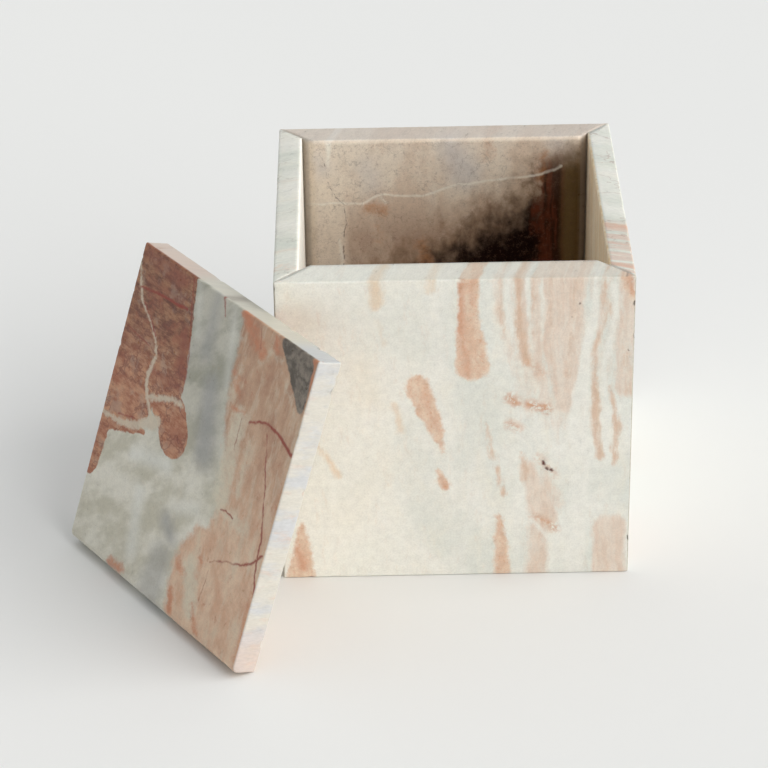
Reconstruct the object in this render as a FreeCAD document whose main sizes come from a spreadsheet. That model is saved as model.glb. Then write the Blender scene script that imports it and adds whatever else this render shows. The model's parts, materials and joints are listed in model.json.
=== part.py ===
"""Square stone canister with a loose lid: six slabs of marble bonded with stone resin.

The origin is the middle of the canister's underside, +Z is up, and the front faces -Y.
The lid is off: it stands on the floor on one edge and leans on the front-left corner.
Run as a FreeCAD macro. Lengths are millimetres and angles are degrees.
"""
import FreeCAD, Part
import math
import os
import re

import Sketcher

DIMENSIONS = {
    # The box. The front and back are cut from thicker stone than the two sides.
    "box_width": 100.0,
    "box_depth": 100.0,
    "box_height": 97.0,
    "front_stone": 10.0,
    "side_stone": 7.0,
    "base_stone": 10.0,
    "arris_radius": 0.6,
    # Stone resin between two bonded faces.
    "resin_gap": 0.3,
    # The lid is one slab with a step cut round its underside, which drops into the mouth.
    # It overlaps the rim all round. The arris it stands on is rounded more than the others.
    "overlap_sides": 3.7,
    "overlap_ends": 4.1,
    "lid_play": 0.5,
    "lid_stone": 8.0,
    "foot_radius": 2.4,
    "plug_depth": 2.5,
    "plug_radius": 0.3,
    # How the loose lid leans: its lower edge's heading, its lean, and the middle of that edge.
    "lid_heading": -55.29,
    "lid_lean": 19.87,
    "foot_left": 82.28,
    "foot_front": 60.82,
}

# Values that follow from the dimensions. Each is an expression on the sheet's own cells.
DERIVED = {
    "half_width": "box_width / 2",
    "half_depth": "box_depth / 2",
    "mouth_width": "box_width - 2 * side_stone",
    "mouth_depth": "box_depth - 2 * front_stone",
    "mitre_step": "resin_gap / sqrt(2)",
    "lid_length": "mouth_width + 2 * overlap_sides",
    "lid_width": "mouth_depth + 2 * overlap_ends",
    "plug_length": "mouth_width - 2 * lid_play",
    "plug_width": "mouth_depth - 2 * lid_play",
    "plug_margin": "(lid_length - plug_length) / 2",
    "slab_length": "mouth_width - 2 * resin_gap",
    "slab_depth": "mouth_depth - 2 * resin_gap",
}

# Two heights nearer than this are the same.
FLATNESS = 1e-6

doc = FreeCAD.newDocument("marble_canister")


def make_sheet():
    """The driving dimensions, one alias to a row, and what follows from them."""
    sheet = doc.addObject("Spreadsheet::Sheet", "sizes")
    for row, (name, value) in enumerate(DIMENSIONS.items(), start=1):
        sheet.set(f"A{row}", name)
        sheet.set(f"B{row}", str(value))
        sheet.setAlias(f"B{row}", name)
    first = len(DIMENSIONS) + 2
    for row, (name, formula) in enumerate(DERIVED.items(), start=first):
        sheet.set(f"A{row}", name)
        sheet.set(f"B{row}", "=" + formula)
        sheet.setAlias(f"B{row}", name)
    doc.recompute()
    return sheet


sizes = make_sheet()


def size(name):
    """A value from the sheet, as a plain number."""
    return float(sizes.get(name))


def origin_plane(body, role):
    """One of a body's own origin planes."""
    return next(feature for feature in body.Origin.OriginFeatures if feature.Role == role)


def draw_loop(sketch, corners):
    """A closed loop of lines. Each corner is a pair of expressions on the sheet, x then y.

    The geometry goes in at the right size, then each corner is dimensioned from the
    sketch's origin, so the sheet drives it.
    """
    points = [FreeCAD.Vector(evaluate(x), evaluate(y), 0) for x, y in corners]
    first = sketch.GeometryCount
    count = len(points)
    for index in range(count):
        line = Part.LineSegment(points[index], points[(index + 1) % count])
        sketch.addGeometry(line, False)
    for index in range(count):
        following = first + (index + 1) % count
        sketch.addConstraint(Sketcher.Constraint("Coincident", first + index, 2, following, 1))
    for index, (x, y) in enumerate(corners):
        for kind, formula, value in (
            ("DistanceX", x, points[index].x),
            ("DistanceY", y, points[index].y),
        ):
            number = sketch.addConstraint(Sketcher.Constraint(kind, -1, 1, first + index, 1, value))
            sketch.setExpression(f"Constraints[{number}]", bound(formula))


def evaluate(formula):
    """The number that an expression on the sheet's cells gives."""
    return float(sizes.evalExpression(formula))


def bound(formula):
    """The same expression, with each cell's name pointed at the sheet."""
    return re.sub(r"[a-z]\w+", lambda name: f"{sizes.Name}.{name[0]}", formula)


def new_sketch(body, name, corners, role="XY_Plane"):
    """A sketch on one of the body's origin planes, holding one loop."""
    sketch = body.newObject("Sketcher::SketchObject", name)
    sketch.AttachmentSupport = [(origin_plane(body, role), "")]
    sketch.MapMode = "FlatFace"
    draw_loop(sketch, corners)
    doc.recompute()
    return sketch


def pad(body, name, sketch, length, downward=False):
    """A pad of a sketch, with its length bound to the sheet."""
    feature = body.newObject("PartDesign::Pad", name)
    feature.Profile = sketch
    feature.setExpression("Length", bound(length))
    feature.Reversed = downward
    doc.recompute()
    return feature


def rectangle(length, width):
    """Corners of a rectangle centred on the sketch's origin."""
    return [
        (f"-{length}/2", f"-{width}/2"),
        (f"{length}/2", f"-{width}/2"),
        (f"{length}/2", f"{width}/2"),
        (f"-{length}/2", f"{width}/2"),
    ]


def polished_block():
    """The assembled box as one block with its outer arrises polished round.

    The slabs are bonded first and polished together, so every wall is cut by this.
    """
    block = doc.addObject("Part::Box", "block")
    for prop, formula in (("Length", "box_width"), ("Width", "box_depth"), ("Height", "box_height")):
        block.setExpression(prop, bound(formula))
    block.setExpression("Placement.Base.x", bound("-half_width"))
    block.setExpression("Placement.Base.y", bound("-half_depth"))
    doc.recompute()
    polished = doc.addObject("Part::Fillet", "polished_block")
    polished.Base = block
    radius = size("arris_radius")
    polished.Edges = [(index + 1, radius, radius) for index in range(len(block.Shape.Edges))]
    doc.recompute()
    return polished


def polish(piece, envelope, label):
    """The part of a piece that is inside the polished block, under the piece's name."""
    finished = doc.addObject("Part::Common", label)
    finished.Base = piece
    finished.Tool = envelope
    finished.Label = label
    doc.recompute()
    return finished


def mitred_wall(label, corners, envelope):
    """One upright slab with mitred ends, polished with the rest of the box."""
    body = doc.addObject("PartDesign::Body", label + "_slab")
    outline = new_sketch(body, label + "_outline", corners)
    pad(body, label + "_pad", outline, "box_height")
    return polish(body, envelope, label)


def front_or_back(label, sign, envelope):
    """A thick slab across the front (sign "-") or the back (sign "").

    It is thicker than the sides, so a strip of each mitred end shows inside the corner.
    """
    outer = f"{sign}half_depth"
    inner = f"{sign}mouth_depth/2"
    corners = [
        ("-half_width+mitre_step", outer),
        ("half_width-mitre_step", outer),
        ("half_width-front_stone-mitre_step", inner),
        ("-half_width+front_stone+mitre_step", inner),
    ]
    return mitred_wall(label, corners, envelope)


def left_or_right(label, sign, envelope):
    """A thinner slab down the left (sign "-") or the right (sign "") side."""
    outer = f"{sign}half_width"
    inner = f"{sign}mouth_width/2"
    corners = [
        (outer, "-half_depth+mitre_step"),
        (outer, "half_depth-mitre_step"),
        (inner, "half_depth-side_stone-mitre_step"),
        (inner, "-half_depth+side_stone+mitre_step"),
    ]
    return mitred_wall(label, corners, envelope)


def base_slab():
    """The floor of the box, bonded between the four walls and flush with their feet."""
    body = doc.addObject("PartDesign::Body", "base_slab")
    outline = new_sketch(body, "base_outline", rectangle("slab_length", "slab_depth"))
    pad(body, "base_pad", outline, "base_stone")
    return body


def corner_signs():
    """The four corners, as the signs of x and y."""
    return [(x, y) for x in ("-", "") for y in ("-", "")]


def flip(sign):
    """The opposite sign, for a length measured back from a corner."""
    return "+" if sign == "-" else "-"


def mitre_resin(envelope):
    """The resin in the four mitres, from the outer corner in to the side slab's face."""
    sketch = doc.addObject("Sketcher::SketchObject", "mitre_resin_outline")
    for x, y in corner_signs():
        back_x = flip(x)
        back_y = flip(y)
        corners = [
            (f"{x}half_width{back_x}mitre_step", f"{y}half_depth"),
            (f"{x}half_width", f"{y}half_depth{back_y}mitre_step"),
            (f"{x}half_width{back_x}side_stone",
             f"{y}half_depth{back_y}side_stone{back_y}mitre_step"),
            (f"{x}half_width{back_x}side_stone{back_x}mitre_step",
             f"{y}half_depth{back_y}side_stone"),
        ]
        draw_loop(sketch, corners)
    doc.recompute()
    strips = extrude(sketch, "mitre_resin_strips", "box_height")
    return polish(strips, envelope, "mitre_resin")


def extrude(sketch, name, height):
    """A solid extrusion of a sketch straight up, bound to the sheet."""
    feature = doc.addObject("Part::Extrusion", name)
    feature.Base = sketch
    feature.DirMode = "Custom"
    feature.Dir = FreeCAD.Vector(0, 0, 1)
    feature.Solid = True
    feature.setExpression("LengthFwd", bound(height))
    doc.recompute()
    return feature


def base_resin(slab):
    """The resin round the base slab. It also fills the corners between the mitred ends."""
    sketch = doc.addObject("Sketcher::SketchObject", "base_resin_outline")
    corners = []
    for x, y in (("-", "-"), ("", "-"), ("", ""), ("-", "")):
        back_x = flip(x)
        back_y = flip(y)
        along_side = (f"{x}half_width{back_x}side_stone",
                      f"{y}half_depth{back_y}side_stone{back_y}mitre_step")
        along_front = (f"{x}half_width{back_x}side_stone{back_x}mitre_step",
                       f"{y}half_depth{back_y}side_stone")
        front_end = (f"{x}half_width{back_x}front_stone{back_x}mitre_step",
                     f"{y}half_depth{back_y}front_stone")
        corner = [along_side, along_front, front_end]
        starts_on_side = x == y
        corners.extend(corner if starts_on_side else reversed(corner))
    draw_loop(sketch, corners)
    doc.recompute()
    fill = extrude(sketch, "base_resin_fill", "base_stone")
    ring = doc.addObject("Part::Cut", "base_resin")
    ring.Base = fill
    ring.Tool = slab
    ring.Label = "base_resin"
    doc.recompute()
    return ring


def lid_slab():
    """The loose lid: a slab whose underside is stepped to drop into the mouth.

    In the body's own frame X runs along the lower edge, Y up the slab and +Z out of the
    polished top face, with the origin at the middle of the lower edge of the underside.
    """
    body = doc.addObject("PartDesign::Body", "lid_slab")
    half = "lid_width/2"
    outline = new_sketch(body, "lid_outline", [
        (f"-{half}", "0"),
        (half, "0"),
        (half, "lid_length"),
        (f"-{half}", "lid_length"),
    ])
    pad(body, "lid_pad", outline, "lid_stone")
    top = size("lid_stone")
    radius = size("foot_radius")
    foot = fillet(body, "foot_arris", "foot_radius", lambda edge: runs_at(edge, 0, top))
    if foot.Shape.Volume >= foot.Base[0].Shape.Volume:
        raise RuntimeError("the lid's foot was not rounded")
    fillet(body, "lid_arris", "arris_radius", lambda edge: not (
        runs_at(edge, radius, top) or runs_at(edge, 0, top - radius)))
    plug = new_sketch(body, "plug_outline", [
        ("-plug_width/2", "plug_margin"),
        ("plug_width/2", "plug_margin"),
        ("plug_width/2", "lid_length-plug_margin"),
        ("-plug_width/2", "lid_length-plug_margin"),
    ])
    pad(body, "plug_pad", plug, "plug_depth", downward=True)
    lowest = -size("plug_depth")
    fillet(body, "plug_arris", "plug_radius", lambda edge: all(
        abs(vertex.Z - lowest) < FLATNESS for vertex in edge.Vertexes))
    body.Placement = leaning()
    doc.recompute()
    return body


def runs_at(edge, height, depth):
    """Whether an edge runs along X at that Y and Z."""
    return all(
        abs(vertex.Y - height) < FLATNESS and abs(vertex.Z - depth) < FLATNESS
        for vertex in edge.Vertexes
    )


def fillet(body, name, radius, chosen):
    """Round the chosen edges of the body's last feature."""
    last = body.Tip
    names = [f"Edge{index + 1}" for index, edge in enumerate(last.Shape.Edges) if chosen(edge)]
    rounded = body.newObject("PartDesign::Fillet", name)
    rounded.Base = (last, names)
    rounded.setExpression("Radius", bound(radius))
    doc.recompute()
    return rounded


def leaning():
    """Where the loose lid stands: its rounded lower arris just touches the floor."""
    lean = math.radians(size("lid_lean"))
    rounding = size("arris_radius") * (math.cos(lean) + math.sin(lean) - 1)
    foot = FreeCAD.Vector(-size("foot_left"), -size("foot_front"), -rounding)
    heading = FreeCAD.Rotation(FreeCAD.Vector(0, 0, 1), size("lid_heading"))
    upright = FreeCAD.Rotation(FreeCAD.Vector(1, 0, 0), 90 - size("lid_lean"))
    return FreeCAD.Placement(foot, heading.multiply(upright))


def check(pieces):
    """Stop if any object failed, or any piece is empty or invalid."""
    for thing in doc.Objects:
        if {"Invalid", "Error"} & set(thing.State):
            raise RuntimeError(f"{thing.Name} failed: {thing.State}")
    for piece in pieces:
        if piece.Shape.isNull() or not piece.Shape.isValid() or not piece.Shape.Solids:
            raise RuntimeError(f"{piece.Label} is not a valid solid")


def main():
    envelope = polished_block()
    floor = base_slab()
    pieces = [
        front_or_back("front_wall", "-", envelope),
        front_or_back("back_wall", "", envelope),
        left_or_right("left_wall", "-", envelope),
        left_or_right("right_wall", "", envelope),
        floor,
        lid_slab(),
        mitre_resin(envelope),
        base_resin(floor),
    ]
    check(pieces)
    os.makedirs("parts", exist_ok=True)
    for piece in pieces:
        box = piece.Shape.BoundBox
        print(f"{piece.Label}: {piece.Shape.Volume / 1000:.2f} cm3, "
              f"{len(piece.Shape.Solids)} solid, z {box.ZMin:.3f} to {box.ZMax:.3f}")
        piece.Shape.exportStep(f"parts/{piece.Label}.step")


main()
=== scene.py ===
"""Looks of the square marble canister and its loose lid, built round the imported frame.

Every stone piece is a copy of its CAD slab with worn arrises, painted by a procedural marble
that runs right through the slab, as veins do. The resin is painted plain, and the thin ring of it
round the base keeps its CAD shape. Pattern sizes and places are millimetres in the
slab's own plane: x and z on the front and back, y and z on the sides, and on the lid the
distance along its lower edge and up its slope, from the middle of that edge.
"""

import json
import math

import bmesh
import bpy
from mathutils import Matrix, Vector, noise


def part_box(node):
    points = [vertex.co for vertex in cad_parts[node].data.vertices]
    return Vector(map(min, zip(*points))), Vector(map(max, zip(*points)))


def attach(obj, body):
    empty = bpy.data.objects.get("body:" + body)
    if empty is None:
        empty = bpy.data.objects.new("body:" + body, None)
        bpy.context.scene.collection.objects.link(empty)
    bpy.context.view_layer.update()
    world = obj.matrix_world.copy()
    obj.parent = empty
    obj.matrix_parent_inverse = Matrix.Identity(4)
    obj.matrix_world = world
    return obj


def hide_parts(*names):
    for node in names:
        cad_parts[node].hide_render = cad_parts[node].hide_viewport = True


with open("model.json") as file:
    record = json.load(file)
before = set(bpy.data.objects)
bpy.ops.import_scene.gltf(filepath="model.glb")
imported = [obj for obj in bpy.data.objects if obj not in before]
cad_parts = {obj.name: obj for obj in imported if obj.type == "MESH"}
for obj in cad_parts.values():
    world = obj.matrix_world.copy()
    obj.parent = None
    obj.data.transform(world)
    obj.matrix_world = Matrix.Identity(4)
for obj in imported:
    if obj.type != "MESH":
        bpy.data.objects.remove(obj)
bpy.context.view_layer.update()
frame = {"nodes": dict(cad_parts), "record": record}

MM = 0.001
ARRIS_STEP = 0.7 * MM
RING_WIDTH = 1.2 * MM
# The wear ends inside the ring, so that the big faces stay flat.
WEAR_FULL = 0.5 * MM
WEAR_END = 1.15 * MM
BIG_FACE = 300 * MM * MM
PLANE_FACE = 60 * MM * MM
LONG_EDGE = 3 * MM
# Points nearer than this are one, and faces nearer in angle than this are one flat face.
SAME_POINT = 0.001 * MM
SAME_FACE = math.radians(0.5)
SAME_PLANE = 0.05 * MM
# How deep the arrises are rubbed and chipped, in millimetres.
RUB_DEPTH = 0.05
CHIP_DEPTH = 0.4


# ---------------------------------------------------------------- camera, floor and lights

def make_camera():
    """The photograph's view: a long lens from high in front, a little left of the middle."""
    low, high = box_extent()
    width = high.x - low.x
    tilt = math.radians(29.7)
    heading = math.radians(0.26)
    roll = math.radians(-0.92)
    camera = bpy.data.objects.new("camera", bpy.data.cameras.new("camera"))
    bpy.context.scene.collection.objects.link(camera)
    camera.data.lens = 144
    camera.data.sensor_width = 36
    camera.data.clip_start = 0.01
    turn = (Matrix.Rotation(-heading, 4, "Z")
            @ Matrix.Rotation(math.pi / 2 - tilt, 4, "X")
            @ Matrix.Rotation(roll, 4, "Z"))
    place = Vector((-0.233, -7.97, 4.904)) * width
    camera.matrix_world = Matrix.Translation(place) @ turn
    bpy.context.scene.camera = camera


def box_extent():
    """Lowest and highest corners of the box without its lid."""
    corners = [corner for node in frame["record"]["behaviour"]["bodies"]["box"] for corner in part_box(node)]
    low = Vector(min(corner[axis] for corner in corners) for axis in range(3))
    high = Vector(max(corner[axis] for corner in corners) for axis in range(3))
    return low, high


def area_light(name, place, target, size, power):
    """A soft light of a given width and height, pointed at a target."""
    light = bpy.data.lights.new(name, "AREA")
    light.shape = "RECTANGLE"
    light.size, light.size_y = size
    light.energy = power
    lamp = bpy.data.objects.new(name, light)
    lamp.location = place
    lamp.rotation_euler = (Vector(target) - Vector(place)).to_track_quat("-Z", "Y").to_euler()
    bpy.context.scene.collection.objects.link(lamp)


def make_studio():
    """A pale floor, a broad low key from the right, a low front fill and a pale room behind."""
    floor_mesh = bpy.data.meshes.new("floor")
    reach = 6.0
    corners = [(-reach, -reach, 0), (reach, -reach, 0), (reach, reach, 0), (-reach, reach, 0)]
    floor_mesh.from_pydata(corners, [], [(0, 1, 2, 3)])
    floor = bpy.data.objects.new("floor", floor_mesh)
    bpy.context.scene.collection.objects.link(floor)
    paint = Paint("studio_floor")
    paint.finish(srgb(237, 237, 235), roughness=0.9, specular=0.1)
    floor_mesh.materials.append(paint.material)

    key = bpy.data.lights.new("key", "SUN")
    key.angle = math.radians(74)
    key.energy = 2.9
    key.color = (1.0, 0.99, 0.97)
    sun = bpy.data.objects.new("key", key)
    heading = math.radians(-25)
    climb = math.radians(27)
    towards = Vector((math.cos(climb) * math.cos(heading),
                      math.cos(climb) * math.sin(heading),
                      math.sin(climb)))
    sun.rotation_euler = towards.to_track_quat("Z", "Y").to_euler()
    bpy.context.scene.collection.objects.link(sun)
    area_light("front_fill", (-0.3, -3.0, 0.3), (0, 0, 0.05), (2.6, 0.6), 10.0)
    make_room(0.69)


def make_room(strength):
    """Light from all round, less and less of it towards the front."""
    room = bpy.data.worlds.new("room")
    room.use_nodes = True
    kit = Nodes(room.node_tree)
    background = room.node_tree.nodes["Background"]
    direction = kit.node("ShaderNodeTexCoord").outputs["Generated"]
    back = kit.node("ShaderNodeSeparateXYZ", direction).outputs["Y"]
    share = kit.math("ADD", back, 1.0, clamp=True)
    kit.feed(background.inputs["Strength"], kit.math("MULTIPLY", share, strength))
    background.inputs["Color"].default_value = (0.96, 0.98, 1.0, 1)
    bpy.context.scene.world = room
    bpy.context.scene.view_settings.view_transform = "Standard"


# ---------------------------------------------------------------- a small kit for materials

def srgb(red, green, blue):
    """A colour given as 0 to 255 screen values, as the linear colour that shaders take."""
    def linear(value):
        value /= 255
        return value / 12.92 if value <= 0.04045 else ((value + 0.055) / 1.055) ** 2.4
    return (linear(red), linear(green), linear(blue), 1)


def streak_group():
    """A node group: how far a point is inside a straight streak that tapers from end to end.

    MINIMUM and MAXIMUM limit the share. A clamped Math node here fills the renderer's stack when
    a material has many streaks, and the material turns black.
    """
    group = bpy.data.node_groups.new("streak", "ShaderNodeTree")
    kinds = {"At": "NodeSocketVector", "Start": "NodeSocketVector", "Run": "NodeSocketVector",
             "First": "NodeSocketFloat", "Last": "NodeSocketFloat", "Soft": "NodeSocketFloat"}
    for name, kind in kinds.items():
        group.interface.new_socket(name, in_out="INPUT", socket_type=kind)
    group.interface.new_socket("Mask", in_out="OUTPUT", socket_type="NodeSocketFloat")
    kit = Nodes(group)
    source = group.nodes.new("NodeGroupInput").outputs
    from_start = kit.vector("SUBTRACT", source["At"], source["Start"])
    reach = kit.dot(from_start, source["Run"])
    share = kit.math("DIVIDE", reach, kit.dot(source["Run"], source["Run"]))
    along = kit.math("MINIMUM", kit.math("MAXIMUM", share, 0), 1)
    nearest = kit.vector("SCALE", source["Run"], scale=along)
    distance = kit.length(kit.vector("SUBTRACT", from_start, nearest))
    growth = kit.math("SUBTRACT", source["Last"], source["First"])
    radius = kit.math("MULTIPLY_ADD", growth, along, source["First"])
    outside = kit.math("DIVIDE", kit.math("SUBTRACT", distance, radius), source["Soft"])
    mask = kit.smooth(outside, 1, -1)
    group.links.new(mask, group.nodes.new("NodeGroupOutput").inputs["Mask"])
    return group


class Nodes:
    """Adds nodes to a tree. A value is a socket, a number or a vector."""

    def __init__(self, tree):
        self.tree = tree

    def feed(self, socket, value):
        if isinstance(value, bpy.types.NodeSocket):
            self.tree.links.new(value, socket)
        elif value is not None:
            socket.default_value = value

    def node(self, kind, *values, **settings):
        made = self.tree.nodes.new(kind)
        for key, value in settings.items():
            setattr(made, key, value)
        for socket, value in zip(made.inputs, values):
            self.feed(socket, value)
        return made

    def math(self, operation, first, second=None, third=None, clamp=False):
        made = self.node("ShaderNodeMath", first, second, third, operation=operation, use_clamp=clamp)
        return made.outputs[0]

    def vector(self, operation, first, second=None, scale=None):
        made = self.node("ShaderNodeVectorMath", first, second, None, scale, operation=operation)
        return made.outputs[0]

    def dot(self, first, second):
        return self.node("ShaderNodeVectorMath", first, second, operation="DOT_PRODUCT").outputs[1]

    def length(self, value):
        return self.node("ShaderNodeVectorMath", value, operation="LENGTH").outputs[1]

    def smooth(self, value, low, high, bottom=0, top=1):
        """Rises smoothly from bottom to top as the value goes from low to high."""
        made = self.node("ShaderNodeMapRange", value, low, high, bottom, top,
                         interpolation_type="SMOOTHSTEP")
        return made.outputs[0]

    def flat(self, first, second):
        """A point in a slab's plane."""
        return self.node("ShaderNodeCombineXYZ", first, second, 0).outputs[0]


class Paint(Nodes):
    """One material. Lengths are millimetres."""

    def __init__(self, name):
        self.material = bpy.data.materials.new(name)
        self.material.use_nodes = True
        super().__init__(self.material.node_tree)
        self.tree.nodes.clear()

    def place(self):
        """The point that is being painted, in the piece's own coordinates."""
        spot = self.node("ShaderNodeTexCoord").outputs["Object"]
        return self.vector("SCALE", spot, scale=1 / MM)

    def split(self, value):
        return self.node("ShaderNodeSeparateXYZ", value).outputs

    def noise(self, at, size, detail=3, rough=0.5, seed=0):
        made = self.node("ShaderNodeTexNoise", noise_dimensions="4D")
        for key, value in (("Vector", at), ("W", seed), ("Scale", 1 / size),
                           ("Detail", detail), ("Roughness", rough)):
            self.feed(made.inputs[key], value)
        return made.outputs["Fac"]

    def wobble(self, at, size, reach, seed=0, detail=2):
        """The point moved about by up to half the reach each way, over waves of that size."""
        made = self.node("ShaderNodeTexNoise", noise_dimensions="4D")
        for key, value in (("Vector", at), ("W", seed), ("Scale", 1 / size), ("Detail", detail)):
            self.feed(made.inputs[key], value)
        centred = self.vector("SUBTRACT", made.outputs["Color"], (0.5, 0.5, 0.5))
        return self.vector("ADD", at, self.vector("SCALE", centred, scale=reach))

    def stretch(self, at, along, across):
        """The point with its two directions scaled, so that noise draws streaks."""
        return self.vector("MULTIPLY", at, (along, across, 1))

    def mix(self, mask, below, above):
        made = self.node("ShaderNodeMix", data_type="RGBA")
        self.feed(made.inputs[0], mask)
        self.feed(made.inputs[6], below)
        self.feed(made.inputs[7], above)
        return made.outputs[2]

    def streak(self, at, start, end, first, last, soft=0.7):
        """A tapering streak between two points of the slab's plane."""
        made = self.node("ShaderNodeGroup", node_tree=bpy.data.node_groups["streak"])
        run = (end[0] - start[0], end[1] - start[1], 0)
        for key, value in (("At", at), ("Start", (*start, 0)), ("Run", run),
                           ("First", first), ("Last", last), ("Soft", soft)):
            self.feed(made.inputs[key], value)
        return made.outputs[0]

    def streaks(self, at, shapes, soft=0.7):
        """Many streaks in one mask. Each is start, end, first radius, last radius, strength."""
        whole = 0.0
        for start, end, first, last, strength in shapes:
            mask = self.streak(at, start, end, first, last, soft)
            whole = self.math("MAXIMUM", whole, self.math("MULTIPLY", mask, strength))
        return whole

    def slanted(self, at, degrees, along, across):
        """The point turned by an angle, then stretched, so that noise draws slanting wisps."""
        turned = self.node("ShaderNodeVectorRotate", at, rotation_type="Z_AXIS")
        turned.inputs["Angle"].default_value = math.radians(-degrees)
        return self.stretch(turned.outputs[0], along, across)

    def ragged(self, mask, at, size, amount, seed, low=0.4, high=0.6):
        """A soft mask with its outline broken up by noise, as a stain's is."""
        rough = self.noise(at, size, detail=6, rough=0.75, seed=seed)
        push = self.smooth(rough, 0.3, 0.7, -amount, amount)
        return self.smooth(self.math("ADD", mask, push), low, high)

    def path(self, at, points, first, last, soft=0.35, strength=1.0):
        """One line through several points, with a width that changes evenly along it."""
        count = len(points) - 1
        step = (last - first) / count
        shapes = [(points[index], points[index + 1], first + step * index,
                   first + step * (index + 1), strength) for index in range(count)]
        return self.streaks(at, shapes, soft)

    def hairlines(self, at, size, width, seed=0):
        """Thin wandering veins, where a noise crosses its middle value."""
        value = self.noise(at, size, detail=4, rough=0.55, seed=seed)
        away = self.math("ABSOLUTE", self.math("SUBTRACT", value, 0.5))
        return self.smooth(away, width, 0)

    def times(self, *masks):
        whole = masks[0]
        for mask in masks[1:]:
            whole = self.math("MULTIPLY", whole, mask)
        return whole

    def finish(self, colour, roughness=0.3, specular=0.5, height=None, bump=0.1, glow=0.0):
        """The shader. Height is millimetres, and drives a bump of that many millimetres."""
        shader = self.tree.nodes.new("ShaderNodeBsdfPrincipled")
        self.feed(shader.inputs["Base Color"], colour)
        self.feed(shader.inputs["Roughness"], roughness)
        self.feed(shader.inputs["Specular IOR Level"], specular)
        if glow:
            shader.inputs["Subsurface Weight"].default_value = glow
            shader.inputs["Subsurface Radius"].default_value = (1.0, 0.8, 0.6)
            shader.inputs["Subsurface Scale"].default_value = 1.5 * MM
        if height is not None:
            relief = self.node("ShaderNodeBump")
            self.feed(relief.inputs["Height"], height)
            relief.inputs["Distance"].default_value = MM
            relief.inputs["Strength"].default_value = bump
            self.feed(shader.inputs["Normal"], relief.outputs[0])
        out = self.tree.nodes.new("ShaderNodeOutputMaterial")
        self.tree.links.new(shader.outputs[0], out.inputs[0])


# ---------------------------------------------------------------- marble

CREAM = srgb(236, 230, 214)
WHITE = srgb(235, 233, 224)
COOL = srgb(222, 223, 214)
GREY_GREEN = srgb(210, 214, 203)
PEACH = srgb(222, 184, 156)
PINK_BEIGE = srgb(221, 203, 185)
ORANGE = srgb(206, 148, 112)
DARK_RED = srgb(96, 46, 36)
RIM_GREY = srgb(188, 186, 172)


def marble_grain(paint, at, colour, seed):
    """Fine crystals over any marble: tiny light and dark flecks and a soft mottle."""
    fleck = paint.noise(at, 0.55, detail=2, rough=0.7, seed=seed)
    mottle = paint.noise(at, 2.4, detail=4, rough=0.65, seed=seed + 1)
    tone = paint.math("ADD", paint.smooth(fleck, 0.3, 0.7, -0.05, 0.05),
                      paint.smooth(mottle, 0.3, 0.7, -0.05, 0.05))
    lifted = paint.math("ADD", tone, 1.0)
    made = paint.node("ShaderNodeVectorMath", colour, None, None, lifted, operation="SCALE")
    return made.outputs[0], mottle


def marble_finish(paint, at, colour, dents, seed, honed=None):
    """Polished stone: an uneven gloss, a faint relief, and any cracks or pits sunk in.
    Where the honed mask is full the stone is left dull."""
    grained, mottle = marble_grain(paint, at, colour, seed)
    gloss = paint.smooth(mottle, 0.25, 0.75, 0.26, 0.4)
    shine = 0.5
    if honed is not None:
        gloss = paint.math("MULTIPLY_ADD", honed, 0.4, gloss)
        shine = paint.smooth(honed, 0, 1, 0.5, 0.1)
    relief = paint.math("MULTIPLY", mottle, 0.05)
    height = paint.math("SUBTRACT", relief, dents)
    paint.finish(grained, roughness=gloss, specular=shine, height=height, bump=0.6, glow=0.12)
    return paint.material


def cloud_ground(paint, at, seed, warm=0.5, cool=COOL):
    """The white stone between the veins, with faint clouds in it."""
    drift = paint.wobble(at, 20, 14, seed)
    clouds = paint.noise(paint.stretch(drift, 1.0, 0.7), 17, detail=3, rough=0.5, seed=seed)
    wisps = paint.noise(paint.stretch(drift, 1.0, 0.4), 6, detail=5, rough=0.6, seed=seed + 3)
    curds = paint.noise(at, 3.2, detail=3, rough=0.6, seed=seed + 5)
    colour = paint.mix(paint.smooth(clouds, 0.35, 0.65), WHITE, cool)
    colour = paint.mix(paint.smooth(wisps, 0.45, 0.7, 0, warm), colour, CREAM)
    return paint.mix(paint.smooth(curds, 0.5, 0.7, 0, 0.15), colour, cool)


def behind(paint, along, up, depth):
    """A slab's own plane, with its pattern slanting through the stone's thickness."""
    return paint.flat(paint.math("MULTIPLY_ADD", depth, -0.3, along),
                      paint.math("MULTIPLY_ADD", depth, 0.5, up))


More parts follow.
